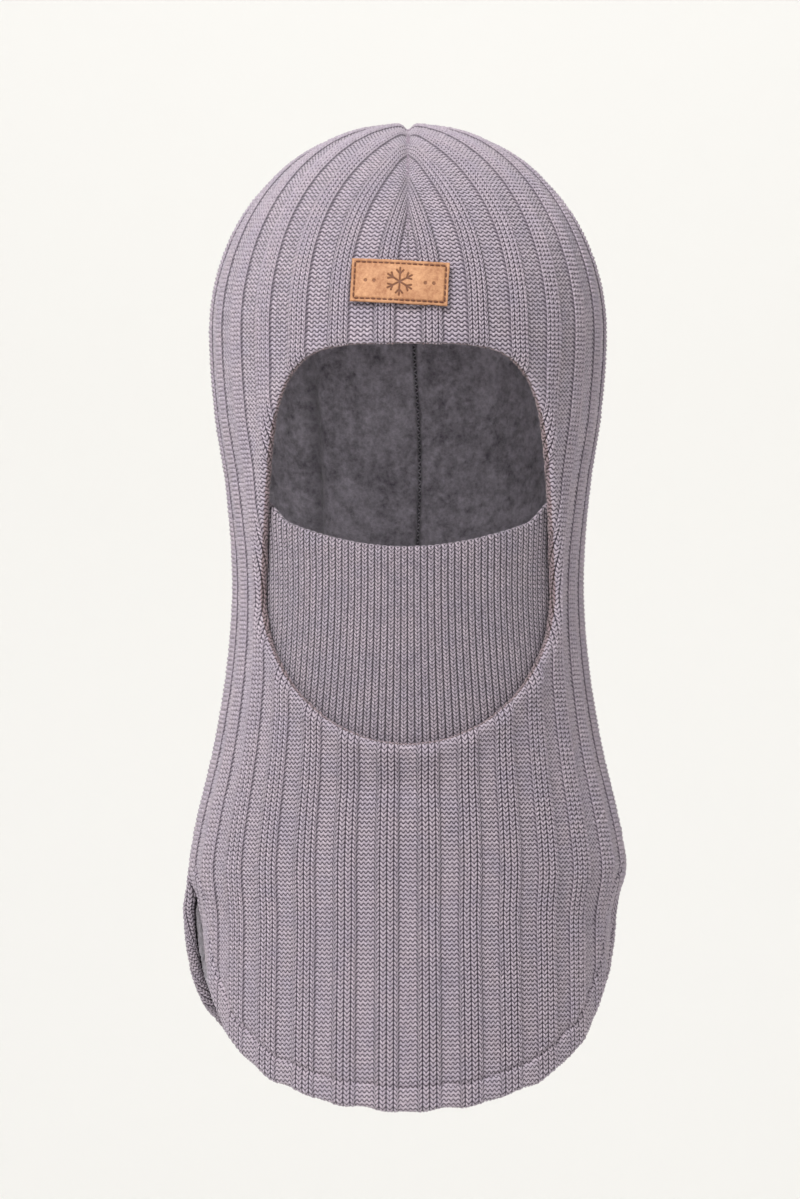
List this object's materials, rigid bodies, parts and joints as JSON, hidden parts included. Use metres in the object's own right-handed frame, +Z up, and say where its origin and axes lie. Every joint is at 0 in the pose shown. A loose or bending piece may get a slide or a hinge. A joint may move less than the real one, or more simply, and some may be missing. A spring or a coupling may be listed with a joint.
{
  "type": "balaclava",
  "caption": "Child's rib-knit balaclava with a fleece lining, a fold-over mask behind the face opening, a forehead label, and front and back bibs parted by side slits.",
  "frame": {"origin": "centre of the wearer's head, at the level where the hood is widest", "axes": "+Z up out of the crown, -Y out of the face opening, +X towards the wearer's left ear"},
  "size_m": [0.1882, 0.193, 0.4229],
  "materials": {
    "rib_knit": "heather mauve-grey wool knitted in a wide rib, matt with a soft halo of fibres",
    "fine_rib": "fine one-by-one rib in the same wool, smoother and slightly darker",
    "fleece": "brushed dark grey fleece with a mottled nap",
    "seam_yarn": "matching seaming yarn, matt",
    "label_leather": "tan suede-finish leather, fine grain",
    "label_thread": "dark brown sewing thread"
  },
  "bodies": {
    "hood": {"hood_shell": "rib_knit", "face_edge": "rib_knit", "hood_lining_left": "fleece", "hood_lining_right": "fleece", "crown_seam": "seam_yarn", "lining_seam": "fleece", "mask_outer": "fine_rib", "mask_inner": "fine_rib", "label": "label_leather", "label_stitching": "label_thread"},
    "mask": {"mask_rim": "fine_rib"},
    "front_bib": {"front_bib_shell": "rib_knit", "front_bib_lining": "fleece", "front_bib_hem": "rib_knit"},
    "back_bib": {"back_bib_shell": "rib_knit", "back_bib_lining": "fleece", "back_bib_hem": "rib_knit", "back_bib_seam": "seam_yarn"}
  },
  "joints": [
    {"name": "mask_pull", "type": "slide", "parent": "hood", "child": "mask", "axis": [0, 0.132, -0.9912], "range_m": [-0.02, 0.045], "deforming": ["mask_outer", "mask_inner"]},
    {"name": "front_bib_lift", "type": "hinge", "parent": "hood", "child": "front_bib", "pos_m": [0, -0.0705, -0.22115], "axis": [-1, 0, 0], "range_deg": [0, 40]},
    {"name": "back_bib_lift", "type": "hinge", "parent": "hood", "child": "back_bib", "pos_m": [0, 0.063, -0.22115], "axis": [1, 0, 0], "range_deg": [0, 40]}
  ]
}
